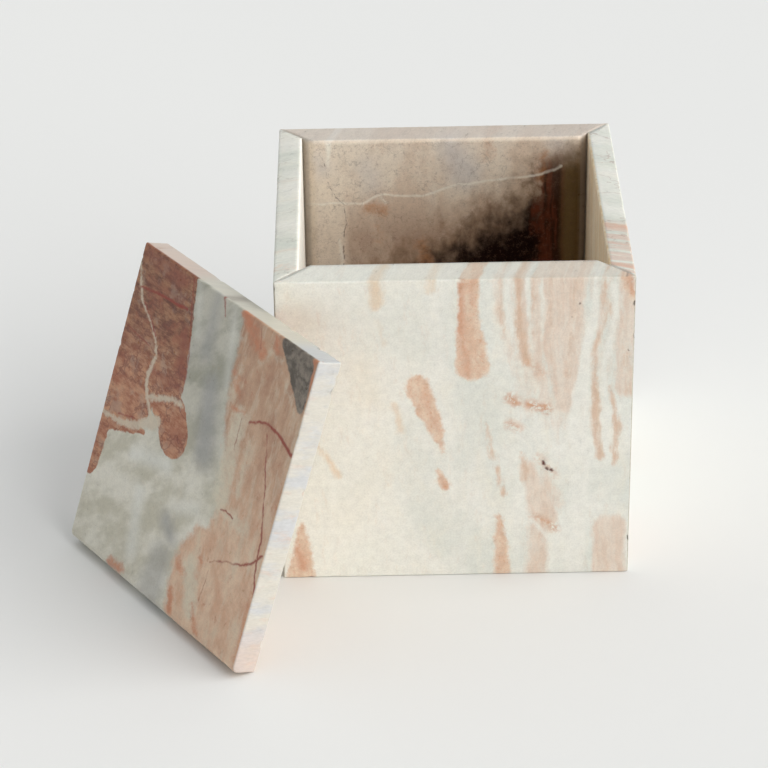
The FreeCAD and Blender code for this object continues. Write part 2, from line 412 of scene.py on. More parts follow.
def front_marble():
    """Cream with peach drops on the left and pink bands down the right."""
    paint = Paint("front_marble")
    x, y, z = paint.split(paint.place())
    plane = behind(paint, x, z, paint.math("ADD", y, 50))
    soft_plane = paint.wobble(plane, 10, 2.0, 1.3)
    at = paint.wobble(soft_plane, 2.2, 1.4, 2.1)
    grain = paint.stretch(soft_plane, 1.0, 0.3)
    colour = cloud_ground(paint, plane, 4.2, warm=0.4)
    chill = paint.streaks(soft_plane, [((4, 60), (10, 50), 5, 6, 0.8),
                                       ((-14, 88), (-10, 76), 4, 5, 0.6)], soft=6)
    colour = paint.mix(chill, colour, COOL)
    brighter = paint.smooth(paint.split(soft_plane)[0], 0, -40, 0, 0.85)
    colour = paint.mix(brighter, colour, srgb(241, 240, 230))
    warmth = paint.streaks(soft_plane, [((-49, 97), (-41, 84), 2, 2, 0.25),
                                        ((-26, 70), (-24, 60), 4, 4, 0.25),
                                        ((-20, 40), (-30, 20), 3, 4, 0.15)], soft=5)
    colour = paint.mix(warmth, colour, srgb(236, 224, 200))
    colour = front_pink_side(paint, plane, soft_plane, grain, colour)
    colour = front_drops(paint, at, grain, colour)
    pits = front_pits(paint, at)
    colour = paint.mix(pits, colour, DARK_RED)
    colour = paint.mix(paint.smooth(z, 96.6, 96.95, 0, 0.32), colour, RIM_GREY)
    return marble_finish(paint, plane, colour, paint.math("MULTIPLY", pits, 0.5), 11)


def front_pink_side(paint, plane, soft_plane, grain, colour):
    """The right half: a pink-beige zone combed by white and tan lines."""
    zone = paint.streaks(soft_plane, [
        ((30.0, 106), (30.0, 62), 20.0, 14.0, 0.34),
        ((30.0, 106), (29.5, 78), 7.0, 6.0, 0.95),
        ((29.5, 78), (31.0, 56), 6.0, 2.5, 0.9),
        ((12.0, 106), (12.4, 84), 1.8, 1.4, 0.65),
        ((22.0, 106), (23.0, 66), 1.8, 2.0, 0.8),
        ((17.8, 106), (19.5, 72), 1.6, 2.2, 0.85),
        ((20.0, 72), (25.0, 58), 3.0, 3.0, 0.5),
        ((41.8, 94), (39.0, 70), 1.8, 1.2, 0.6),
        ((48.0, 97), (48.0, 62), 2.5, 3.5, 0.8),
        ((20.5, 36), (25.0, 20), 2.2, 4.0, 0.9),
        ((26.0, 32), (29.0, 24), 2.0, 2.0, 0.5),
        ((23.5, 15), (23.5, -4), 3.2, 3.8, 0.85),
        ((44.5, 15), (44.5, -4), 4.6, 5.2, 1.0),
    ], soft=2.2)
    zone = paint.ragged(zone, grain, 4.0, 0.3, 9.0, 0.1, 0.95)
    combed = paint.stretch(paint.wobble(soft_plane, 14, 5, 8.8), 1.0, 0.07)
    fibre = paint.noise(combed, 1.7, detail=4, rough=0.6, seed=9.6)
    pink = paint.mix(paint.smooth(fibre, 0.35, 0.65), srgb(227, 213, 198), srgb(219, 196, 177))
    colour = paint.mix(paint.math("MULTIPLY", zone, 0.92), colour, pink)
    comb = paint.wobble(paint.wobble(plane, 16, 3.0, 7.1), 4, 1.1, 7.3)
    tan_lines = paint.streaks(comb, [
        ((16.9, 106), (17.6, 88), 0.6, 0.9, 0.8),
        ((17.6, 88), (20.2, 71), 0.9, 1.5, 0.95),
        ((21.6, 104), (22.0, 80), 0.4, 0.8, 0.6),
        ((12.2, 104), (13.6, 78), 0.5, 0.9, 0.55),
        ((26.0, 100), (26.6, 76), 0.4, 0.7, 0.4),
        ((33.0, 96), (31.5, 66), 0.9, 1.4, 0.45),
        ((40.0, 106), (42.0, 86), 0.6, 1.0, 0.85),
        ((42.0, 86), (38.6, 74), 1.0, 0.7, 0.8),
        ((38.6, 74), (39.6, 58), 0.7, 1.2, 0.9),
        ((39.6, 58), (41.0, 40), 1.2, 1.7, 1.0),
        ((43.2, 62), (46.0, 50), 0.4, 1.0, 0.8),
        ((46.0, 50), (45.0, 37), 1.0, 0.9, 0.85),
        ((9.0, 50), (10.4, 40), 0.6, 1.1, 0.55),
        ((11.6, 36), (13.2, 28), 0.7, 1.2, 0.75),
        ((19.2, 41), (19.6, 33), 0.6, 1.3, 0.75),
        ((47.8, 72), (48.6, 60), 1.4, 1.6, 0.5),
    ], soft=1.1)
    tan_lines = paint.ragged(tan_lines, grain, 2.2, 0.4, 10.0, 0.1, 1.1)
    colour = paint.mix(paint.math("MULTIPLY", tan_lines, 0.85), colour, srgb(212, 180, 153))
    white_lines = paint.streaks(comb, [
        ((14.4, 106), (15.4, 84), 0.7, 0.9, 0.9),
        ((15.4, 84), (18.2, 70), 0.9, 0.5, 0.6),
        ((19.5, 106), (20.4, 86), 0.6, 0.6, 0.9),
        ((24.0, 106), (24.6, 78), 0.4, 0.6, 0.8),
        ((38.2, 106), (38.8, 88), 0.6, 1.0, 0.9),
        ((38.8, 88), (36.6, 74), 1.0, 1.4, 0.9),
        ((36.6, 74), (34.8, 50), 1.4, 3.0, 0.9),
        ((34.8, 50), (34.5, 0), 3.0, 3.2, 0.8),
        ((44.2, 94), (44.2, 84), 1.0, 1.0, 0.9),
        ((44.2, 84), (41.6, 70), 1.0, 1.0, 0.9),
        ((41.6, 70), (42.4, 58), 1.0, 0.9, 0.8),
        ((42.4, 58), (43.4, 38), 0.9, 0.8, 0.8),
        ((20.0, 22), (26.5, 12), 0.5, 0.8, 0.8),
        ((17.2, 34), (17.8, 0), 1.0, 1.6, 0.6),
    ], soft=1.0)
    white_lines = paint.ragged(white_lines, grain, 2.6, 0.3, 10.5, 0.1, 1.0)
    return paint.mix(paint.math("MULTIPLY", white_lines, 0.8), colour, WHITE)


def front_drops(paint, at, grain, colour):
    """Peach drops with grainy, orange insides, and the pale stains round them."""
    stains = paint.streaks(at, [
        ((-22.4, 106), (-21.6, 90), 2.0, 2.4, 0.85),
        ((-21.4, 84), (-20.0, 77), 0.8, 1.3, 0.4),
        ((-7.4, 106), (-6.6, 93.5), 1.4, 1.6, 0.75),
        ((-17.0, 57), (-15.0, 49), 1.2, 1.7, 0.6),
        ((-39.2, 45), (-33.4, 35), 0.5, 1.4, 0.9),
        ((-38.0, 30), (-36.0, 22), 0.5, 1.0, 0.4),
    ], soft=1.8)
    stains = paint.ragged(stains, grain, 2.6, 0.2, 12.0, 0.15, 1.0)
    colour = paint.mix(paint.math("MULTIPLY", stains, 0.75), colour, srgb(226, 200, 168))
    drops = paint.streaks(at, [
        ((3.8, 106), (3.8, 84), 2.8, 3.0, 1.0),
        ((3.8, 84), (4.4, 76), 3.0, 4.3, 1.0),
        ((4.4, 76), (4.8, 69.8), 4.3, 4.8, 1.0),
        ((-10.6, 63.8), (-8.0, 56), 3.2, 3.0, 1.0),
        ((-8.0, 56), (-5.6, 49), 3.0, 1.9, 1.0),
        ((-5.6, 49), (-3.4, 42), 1.9, 0.4, 1.0),
        ((-5.4, 35.2), (-3.2, 30.8), 0.6, 1.6, 0.95),
        ((-44.2, 18.0), (-44.4, 8), 0.6, 3.0, 1.0),
        ((-44.4, 8), (-44.8, -3), 3.0, 4.4, 1.0),
        ((12.6, 20.0), (12.9, 12), 0.8, 1.9, 0.95),
        ((12.9, 12), (13.6, -3), 1.9, 2.2, 0.95),
        ((46.4, 99), (49.4, 91), 1.4, 1.2, 0.95),
    ], soft=1.4)
    drops = paint.ragged(drops, paint.stretch(at, 1.0, 0.6), 1.6, 0.26, 13.0, 0.12, 0.88)
    core = paint.noise(paint.stretch(at, 1.0, 0.45), 3.0, detail=5, rough=0.7, seed=3.3)
    inside = paint.mix(paint.smooth(core, 0.36, 0.62), srgb(226, 203, 180), srgb(217, 182, 155))
    speck = paint.noise(at, 0.8, detail=3, rough=0.75, seed=6.1)
    inside = paint.mix(paint.smooth(speck, 0.52, 0.68, 0, 0.6), inside, ORANGE)
    rust = paint.streaks(at, [((1.6, 95), (1.8, 80), 0.7, 1.0, 0.8), ((4.6, 96), (5.0, 90), 0.8, 0.6, 0.5),
                              ((1.8, 80), (3.4, 67), 0.7, 1.0, 0.6), ((-46, 10), (-44, 4), 0.6, 1.2, 0.8),
                              ((-4.0, 33), (-3.2, 30.5), 0.4, 0.8, 0.6),
                              ((-9, 60), (-5.5, 50), 0.6, 0.6, 0.4),
                              ((48.0, 98), (49.6, 92), 0.4, 0.4, 0.9)], soft=1.4)
    inside = paint.mix(rust, inside, srgb(203, 142, 108))
    colour = paint.mix(paint.math("MULTIPLY", drops, 0.94), colour, inside)
    patch = paint.streaks(at, [
        ((15.6, 59.0), (17.2, 57.6), 1.3, 1.2, 1.0),
        ((20.6, 56.6), (25.6, 55.2), 1.3, 1.5, 1.0),
        ((15.8, 50.6), (18.0, 49.6), 1.5, 1.0, 0.8),
        ((20.5, 70.0), (24.0, 66.5), 1.0, 1.6, 0.4),
        ((22.5, 19.6), (28.5, 15.4), 0.6, 1.1, 0.9),
        ((24.0, 39.4), (28.0, 33.6), 1.2, 1.2, 0.5),
    ], soft=1.5)
    crumbs = paint.smooth(paint.noise(at, 1.4, detail=4, rough=0.7, seed=7.7), 0.38, 0.56)
    return paint.mix(paint.times(patch, crumbs, 0.95), colour, srgb(204, 152, 116))


def front_pits(paint, at):
    """The open pits and dark specks of the front."""
    return paint.streaks(at, [
        ((25.0, 38.2), (25.3, 37.2), 0.3, 0.5, 1.0),
        ((26.0, 35.8), (26.3, 35.6), 0.4, 0.4, 0.9),
        ((27.3, 35.3), (27.6, 35.0), 0.45, 0.4, 1.0),
        ((34.4, 88.7), (34.5, 88.6), 0.16, 0.16, 1.0),
        ((32.1, 84.5), (32.2, 84.5), 0.12, 0.12, 0.7),
        ((48.4, 73.5), (48.5, 73.4), 0.14, 0.14, 1.0),
        ((47.0, 98), (47.4, 97), 0.2, 0.15, 0.7),
    ], soft=0.35)


def back_marble():
    """Dusty beige, darker lower down as painted shade, and near black at the lower right where the right
    wall's shadow is painted in with rust bands, behind one pale rising vein.
    """
    paint = Paint("back_marble")
    x, y, z = paint.split(paint.place())
    plane = behind(paint, x, z, paint.math("SUBTRACT", y, 40))
    soft_plane = paint.wobble(plane, 8, 2.0, 21.0)
    at = paint.wobble(soft_plane, 1.5, 0.8, 22.0)
    clouds = paint.noise(paint.stretch(soft_plane, 1.0, 0.5), 9, detail=5, rough=0.6, seed=23.0)
    colour = paint.mix(paint.smooth(clouds, 0.38, 0.62), srgb(234, 222, 206), srgb(222, 203, 184))
    left_end = paint.smooth(paint.split(soft_plane)[0], -29, -32)
    # Painted shade: the slab is darker lower down, where the front wall and the depth of the box shade its
    # inner face.
    low = paint.smooth(paint.split(soft_plane)[1], 84, 62)
    low_stone = paint.mix(paint.smooth(clouds, 0.4, 0.6), srgb(204, 184, 166), srgb(186, 162, 144))
    colour = paint.mix(low, colour, low_stone)
    colour = paint.mix(paint.math("MULTIPLY", left_end, 0.6), colour, srgb(236, 225, 209))
    cool = paint.streaks(soft_plane, [((1, 96), (6, 86), 3, 5, 0.7), ((-39, 92), (-37, 88), 1, 2, 0.6),
                                      ((-24, 88), (-22, 82), 3, 3, 0.4),
                                      ((34, 95), (37, 90), 3, 2, 0.5)], soft=4)
    colour = paint.mix(cool, colour, srgb(208, 204, 202))
    # Painted shadow of the right wall, with rust bands in it. It fades through the slab, but 30 percent of
    # it is left on the outer back face.
    painted_shadow_and_rust = back_painted_shadow_and_rust(paint, soft_plane, colour)
    colour = paint.mix(paint.smooth(y, 48, 42, 0.3, 1), colour, painted_shadow_and_rust)
    specks = paint.smooth(paint.noise(plane, 1.0, detail=4, rough=0.8, seed=28.5), 0.5, 0.68, 0, 0.35)
    colour = paint.mix(specks, colour, srgb(128, 102, 88))
    spots = paint.streaks(at, [
        ((-23.0, 74.8), (-19.0, 73.6), 2.0, 2.0, 0.7),
        ((13.6, 106), (13.0, 91), 1.6, 1.6, 0.5),
        ((-21.0, 70), (-20.6, 64), 1.5, 1.5, 0.35),
        ((-7.5, 62), (-6.0, 56), 2.5, 3.0, 0.5),
        ((30.0, 92), (29.0, 84), 1.0, 1.4, 0.7),
    ], soft=2.2)
    spots = paint.ragged(spots, soft_plane, 2.4, 0.2, 28.0, 0.1, 0.9)
    colour = paint.mix(paint.math("MULTIPLY", spots, 0.7), colour, srgb(186, 130, 88))
    return back_lines(paint, plane, at, colour)


def back_painted_shadow_and_rust(paint, soft_plane, colour):
    """The right wall's shadow, painted on the slab: a brown penumbra and a near-black core below a diagonal
    edge, with ragged upright rust and olive bands towards the lower right, kept to the painted shade.
    """
    x, z = paint.split(soft_plane)[:2]
    # The painted shadow's edge: the line that the right wall's top casts, falling from the upper right to
    # the lower left.
    fall = paint.math("SUBTRACT", paint.math("MULTIPLY_ADD", x, 0.62, 68), z)
    bands = paint.noise(paint.stretch(soft_plane, 1.0, 0.8), 5.0, detail=5, rough=0.6, seed=25.0)
    edge = paint.math("ADD", fall, paint.smooth(bands, 0.3, 0.7, -5, 5))
    # A dim brown penumbra of the painted shadow.
    colour = paint.mix(paint.smooth(edge, -10, 8, 0, 0.65), colour, srgb(164, 132, 104))
    # The near-black core of the painted shadow.
    colour = paint.mix(paint.smooth(edge, -3, 18), colour, srgb(26, 8, 4))
    # Rust and olive bands at the right end: stone colour, darkened and kept below the top, inside the
    # painted shade.
    right_end = paint.smooth(paint.math("ADD", x, paint.smooth(bands, 0.3, 0.7, -3, 3)), 25, 31)
    shade = paint.smooth(z, 94, 84)
    lanes = paint.noise(paint.stretch(soft_plane, 1.0, 0.06), 2.0, detail=4, rough=0.6, seed=26.5)
    rust = paint.mix(paint.smooth(lanes, 0.42, 0.58), srgb(112, 58, 38), srgb(66, 36, 22))
    rust = paint.mix(paint.smooth(x, 34, 37), rust, srgb(124, 102, 66))
    return paint.mix(paint.times(right_end, shade, 0.9), colour, rust)


def back_lines(paint, plane, at, colour):
    """The pale vein, the white chips and the dark cracks of the back slab."""
    vein = paint.path(at, [(-44, 76.0), (-33.0, 76.4), (-25.0, 76.4), (-22.0, 78.0), (-19.5, 79.0),
                           (-7.0, 78.3), (0.0, 80.6), (4.0, 82.0), (12.0, 83.0), (20.0, 83.8),
                           (28.0, 84.8), (33.0, 86.2), (35.0, 87.4)], 0.26, 0.34, soft=0.45, strength=0.85)
    pale = paint.streaks(at, [((-34.2, 103), (-35.4, 97), 1.2, 1.1, 0.9),
                              ((-35.4, 97), (-35.3, 89), 1.0, 0.3, 0.9),
                              ((-32.4, 64), (-31.9, 54), 0.3, 0.5, 0.7),
                              ((-19.5, 78), (-18.0, 76), 0.3, 0.4, 0.6)], soft=0.6)
    colour = paint.mix(paint.math("MAXIMUM", vein, pale), colour, srgb(244, 239, 228))
    cracks = paint.path(at, [(-36.4, 90), (-35.2, 83), (-33.0, 78.5), (-30.8, 76), (-30.4, 70),
                             (-31.2, 64), (-31.6, 50)], 0.1, 0.26, soft=0.35)
    cracks = paint.ragged(cracks, at, 1.6, 0.4, 29.0, 0.3, 0.9)
    thin = paint.hairlines(plane, 14, 0.006, 26.0)
    dark = paint.math("MAXIMUM", cracks, paint.math("MULTIPLY", thin, 0.4))
    colour = paint.mix(paint.math("MULTIPLY", dark, 0.55), colour, srgb(92, 70, 58))
    across, z = paint.split(paint.place())[1:]
    honed = paint.smooth(across, 40.6, 40.2)
    colour = paint.mix(paint.smooth(across, 40.7, 41.6, 0, 0.6), colour, srgb(186, 176, 166))
    # A painted highlight along the inner top arris of the back slab.
    painted_arris_highlight = paint.times(paint.smooth(across, 40.9, 40.5), paint.smooth(z, 96.1, 96.6))
    colour = paint.mix(paint.math("MULTIPLY", painted_arris_highlight, 0.5), colour, srgb(240, 224, 204))
    return marble_finish(paint, plane, colour, paint.math("MULTIPLY", cracks, 0.08), 27, honed)


def left_marble():
    """Quiet grey-green and white, with one tan stain."""
    paint = Paint("left_marble")
    x, y, z = paint.split(paint.place())
    plane = behind(paint, y, z, paint.math("ADD", x, 50))
    soft_plane = paint.wobble(plane, 9, 3.0, 31.0)
    colour = cloud_ground(paint, plane, 33.0, warm=0.3, cool=GREY_GREEN)
    bands = paint.noise(paint.stretch(soft_plane, 1.0, 0.12), 5.0, detail=3, rough=0.6, seed=34.0)
    colour = paint.mix(paint.smooth(bands, 0.6, 0.72, 0, 0.5), colour, PINK_BEIGE)
    stains = paint.streaks(soft_plane, [
        ((-42.0, 99), (-46.0, 88), 2.0, 3.0, 0.35),
        ((6.0, 60), (12.0, 30), 1.0, 2.6, 0.5),
        ((28.0, 42), (31.0, 8), 1.4, 2.8, 0.45),
    ], soft=1.5)
    stains = paint.ragged(stains, soft_plane, 2.4, 0.25, 37.0, 0.1, 0.9)
    colour = paint.mix(stains, colour, PEACH)
    thin = paint.hairlines(plane, 17, 0.005, 35.0)
    colour = paint.mix(paint.math("MULTIPLY", thin, 0.35), colour, srgb(150, 140, 126))
    colour = paint.mix(paint.smooth(z, 96.6, 96.95, 0, 0.22), colour, RIM_GREY)
    honed = paint.smooth(x, -43.8, -43.3)
    # The inner face is painted near white: painted light where the key falls on it. The same mask also
    # leaves it dull.
    colour = paint.mix(paint.math("MULTIPLY", honed, 0.85), colour, srgb(250, 245, 235))
    return marble_finish(paint, plane, colour, 0.0, 36, honed)


def right_marble():
    """Whitish at the back, with pink bands down its front third and golden lines inside."""
    paint = Paint("right_marble")
    x, y, z = paint.split(paint.place())
    plane = behind(paint, y, z, paint.math("SUBTRACT", 50, x))
    soft_plane = paint.wobble(plane, 8, 3.0, 41.0)
    at = paint.wobble(soft_plane, 1.5, 0.8, 42.0)
    colour = cloud_ground(paint, plane, 43.0, warm=0.3, cool=GREY_GREEN)
    lanes = paint.noise(paint.stretch(soft_plane, 1.0, 0.1), 2.6, detail=4, rough=0.6, seed=44.0)
    front_third = paint.smooth(y, -12, -24)
    colour = paint.mix(paint.times(front_third, paint.smooth(lanes, 0.4, 0.56), 0.8), colour,
                       srgb(214, 190, 174))
    bands = paint.streaks(at, [
        ((-20.0, 103), (-22.0, 60), 1.8, 1.2, 0.8),
        ((-31.0, 103), (-33.0, 50), 1.0, 1.6, 0.6),
        ((-44.0, 103), (-46.0, 60), 1.0, 1.6, 0.7),
        ((-38.0, 60), (-36.0, 10), 1.0, 2.4, 0.6),
        ((12.0, 50), (16.0, 4), 1.4, 3.0, 0.7),
        ((30.0, 90), (26.0, 40), 0.8, 1.6, 0.5),
    ], soft=1.4)
    bands = paint.ragged(bands, soft_plane, 2.4, 0.25, 47.0, 0.1, 0.9)
    colour = paint.mix(paint.math("MULTIPLY", bands, 0.9), colour, srgb(212, 172, 148))
    thin = paint.hairlines(plane, 15, 0.005, 45.0)
    colour = paint.mix(paint.math("MULTIPLY", thin, 0.4), colour, srgb(150, 104, 84))
    inside = paint.smooth(x, 43.8, 43.3)
    combed = paint.noise(paint.stretch(paint.flat(y, z), 1.0, 0.05), 3.4, detail=4, rough=0.65, seed=48.0)
    golden = paint.mix(paint.smooth(combed, 0.38, 0.62), srgb(250, 234, 208), srgb(234, 206, 162))
    colour = paint.mix(paint.math("MULTIPLY", inside, 0.9), colour, golden)
    return marble_finish(paint, plane, colour, 0.0, 46, inside)


def base_marble():
    """The floor of the box: red-brown like the lid's stone, and kept dark as painted shade, so that little
    light bounces round inside the box.
    """
    paint = Paint("base_marble")
    x, y = paint.split(paint.place())[:2]
    plane = paint.flat(x, y)
    soft_plane = paint.wobble(plane, 9, 4, 51.0)
    grain = paint.noise(paint.stretch(soft_plane, 1.0, 0.4), 3.0, detail=5, rough=0.7, seed=53.0)
    # Dark red-brown: stone colour, kept dark as painted shade for the inside of the box.
    colour = paint.mix(paint.smooth(grain, 0.38, 0.62), srgb(132, 88, 68), srgb(164, 122, 98))
    thin = paint.hairlines(soft_plane, 16, 0.012, 54.0)
    colour = paint.mix(paint.math("MULTIPLY", thin, 0.3), colour, srgb(190, 172, 152))
    return marble_finish(paint, plane, colour, 0.0, 56)


def lid_marble(axes):
    """Red-brown with pale veins on the left, grey-green down the middle and tan on the right."""
    paint = Paint("lid_marble")
    offset = paint.vector("SUBTRACT", paint.place(), tuple(axes.translation / MM))
    along, up, out = (tuple(axes.col[index].xyz) for index in range(3))
    a = paint.dot(offset, along)
    b = paint.dot(offset, up)
    sunk = paint.dot(offset, out)
    plane = paint.flat(paint.math("MULTIPLY_ADD", sunk, 0.3, a), b)
    soft_plane = paint.wobble(plane, 8, 1.8, 61.0)
    at = paint.wobble(soft_plane, 1.6, 1.0, 62.0)

    colour = lid_ground(paint, soft_plane)
    colour = lid_tan_side(paint, soft_plane, at, colour)
    colour = lid_red_side(paint, plane, soft_plane, at, colour)
    cracks = lid_cracks(paint, at)
    colour = paint.mix(paint.math("MULTIPLY", cracks, 0.9), colour, srgb(142, 40, 16))
    colour = lid_edges(paint, a, b, sunk, at, colour)
    return marble_finish(paint, plane, colour, paint.math("MULTIPLY", cracks, 0.06), 71)


def lid_ground(paint, soft_plane):
    """Grey-green and white clouds down the middle and the lower left."""
    clouds = paint.noise(paint.slanted(soft_plane, 35, 0.45, 1.0), 9, detail=5, rough=0.6, seed=63.0)
    height = paint.split(soft_plane)[1]
    low = paint.smooth(height, 66, 34)
    high_stone = paint.mix(paint.smooth(clouds, 0.4, 0.6), srgb(194, 191, 177), srgb(159, 157, 141))
    low_stone = paint.mix(paint.smooth(clouds, 0.38, 0.62), srgb(225, 221, 207), srgb(196, 191, 172))
    colour = paint.mix(low, high_stone, low_stone)
    cool = paint.streaks(soft_plane, [
        ((-5.0, 93.0), (-3.5, 76.0), 1.6, 3.0, 0.6),
        ((2.0, 68.0), (7.0, 50.0), 3.6, 4.4, 0.7),
        ((-1.5, 25.0), (2.0, 22.0), 2.6, 2.6, 0.7),
        ((0.0, 14.0), (-1.5, -1.0), 5.0, 5.5, 0.5),
        ((-12.0, 70.0), (-8.0, 78.0), 0.6, 0.8, 0.4),
    ], soft=3.4)
    colour = paint.mix(cool, colour, srgb(158, 158, 157))
    pale = paint.streaks(soft_plane, [
        ((-24.0, 36.0), (-8.0, 40.0), 2.0, 2.6, 0.7),
        ((-17.0, 27.0), (-14.0, 10.0), 2.0, 2.6, 0.6),
        ((0.0, 30.0), (10.0, 34.0), 1.6, 1.6, 0.5),
        ((-14.0, 92.0), (-10.0, 80.0), 1.2, 1.2, 0.5),
        ((4.0, 92.0), (9.0, 72.0), 1.0, 1.6, 0.5),
    ], soft=2.6)
    return paint.mix(pale, colour, srgb(226, 226, 218))


def lid_tan_side(paint, soft_plane, at, colour):
    """The tan and pink right side, its pale patches and the dark grey corner."""
    side = paint.streaks(paint.wobble(soft_plane, 5, 3, 64.0), [
        ((29.0, 97.0), (31.0, 70.0), 21.0, 20.0, 1.0),
        ((31.0, 70.0), (38.0, 50.0), 20.0, 20.0, 1.0),
        ((38.0, 50.0), (38.0, 34.0), 20.0, 19.0, 1.0),
        ((28.0, 14.0), (28.0, -4.0), 21.5, 20.0, 1.0),
        ((34.0, 26.0), (30.0, 14.0), 18.0, 20.0, 1.0),
    ], soft=3.0)
    side = paint.ragged(side, soft_plane, 4.0, 0.25, 64.5, 0.15, 0.85)
    mottle = paint.noise(paint.stretch(soft_plane, 1.0, 0.5), 6, detail=5, rough=0.65, seed=65.0)
    height = paint.split(soft_plane)[1]
    high_tan = paint.mix(paint.smooth(mottle, 0.35, 0.65), srgb(196, 160, 131), srgb(172, 129, 102))
    low_tan = paint.mix(paint.smooth(mottle, 0.35, 0.65), srgb(224, 196, 168), srgb(208, 166, 136))
    colour = paint.mix(side, colour, paint.mix(paint.smooth(height, 82, 26), high_tan, low_tan))
    flecks = paint.noise(paint.stretch(at, 1.0, 0.6), 2.6, detail=5, rough=0.75, seed=73.0)
    flecks = paint.smooth(flecks, 0.56, 0.68)
    colour = paint.mix(paint.times(side, flecks, 0.5), colour, srgb(178, 110, 80))
    bands = paint.noise(paint.stretch(soft_plane, 1.0, 0.22), 3.4, detail=4, rough=0.6, seed=74.0)
    colour = paint.mix(paint.times(side, paint.smooth(bands, 0.5, 0.64), 0.45), colour, srgb(214, 200, 176))
    pale = paint.streaks(soft_plane, [
        ((20.0, 83.0), (24.0, 87.5), 1.0, 1.2, 0.6),
        ((24.0, 87.5), (29.0, 87.2), 1.2, 0.8, 0.6),
        ((30.5, 85.0), (40.0, 76.0), 0.5, 0.6, 0.6),
        ((18.0, 66.0), (19.0, 42.0), 3.2, 4.2, 0.8),
        ((25.0, 62.0), (26.0, 46.0), 1.4, 1.6, 0.6),
        ((24.0, 39.0), (31.0, 38.5), 2.4, 3.0, 0.6),
        ((14.0, 18.0), (19.0, 8.0), 3.6, 3.4, 0.8),
        ((13.0, 78.0), (12.0, 70.0), 1.6, 2.0, 0.6),
        ((33.0, 52.0), (31.0, 20.0), 0.6, 1.2, 0.35),
        ((36.5, 62.0), (37.5, 44.0), 0.8, 0.6, 0.3),
    ], soft=2.4)
    pale = paint.ragged(pale, soft_plane, 3.0, 0.25, 69.0, 0.1, 0.95)
    colour = paint.mix(paint.math("MULTIPLY", pale, 0.8), colour, srgb(214, 206, 184))
    glow = paint.streaks(soft_plane, [
        ((8.6, 93.0), (12.0, 91.0), 1.4, 1.6, 0.9),
        ((13.0, 90.0), (20.0, 86.0), 2.6, 2.6, 0.6),
        ((24.5, 92.5), (26.0, 89.0), 0.8, 0.9, 0.9),
        ((11.0, 76.0), (15.0, 72.0), 1.4, 1.4, 0.5),
        ((13.5, 67.0), (19.0, 67.5), 0.7, 0.7, 0.7),
        ((8.4, 9.0), (10.0, 3.0), 1.0, 1.4, 0.9),
        ((19.5, 9.0), (23.5, 3.0), 0.9, 1.4, 0.7),
        ((17.4, 22.6), (18.2, 21.6), 0.8, 0.7, 0.8),
        ((6.9, 18.6), (10.9, 15.6), 1.0, 2.0, 0.5),
        ((-22.0, 2.0), (-16.0, 3.0), 1.8, 1.6, 0.8),
        ((42.8, 24.0), (43.9, 4.0), 0.5, 0.9, 0.7),
        ((42.6, 92.0), (43.8, 84.0), 0.7, 0.4, 0.9),
    ], soft=1.8)
    glow = paint.ragged(glow, soft_plane, 2.4, 0.25, 70.0, 0.1, 0.9)
    colour = paint.mix(paint.math("MULTIPLY", glow, 0.8), colour, srgb(198, 124, 86))
    corner = paint.streaks(at, [
        ((30.0, 92.6), (35.0, 88.0), 2.8, 3.0, 1.0),
        ((35.0, 88.0), (41.6, 78.6), 3.0, 1.4, 1.0),
        ((34.0, 96.5), (39.6, 90.0), 5.6, 3.2, 1.0),
        ((39.6, 90.0), (41.8, 80.0), 3.0, 1.6, 1.0),
    ], soft=0.9)
    smoke = paint.smooth(paint.noise(at, 2.6, detail=4, rough=0.6, seed=66.0), 0.36, 0.64)
    grey = paint.mix(smoke, srgb(82, 73, 62), srgb(134, 123, 110))
    return paint.mix(paint.ragged(corner, at, 2.4, 0.15, 66.6, 0.2, 0.8), colour, grey)


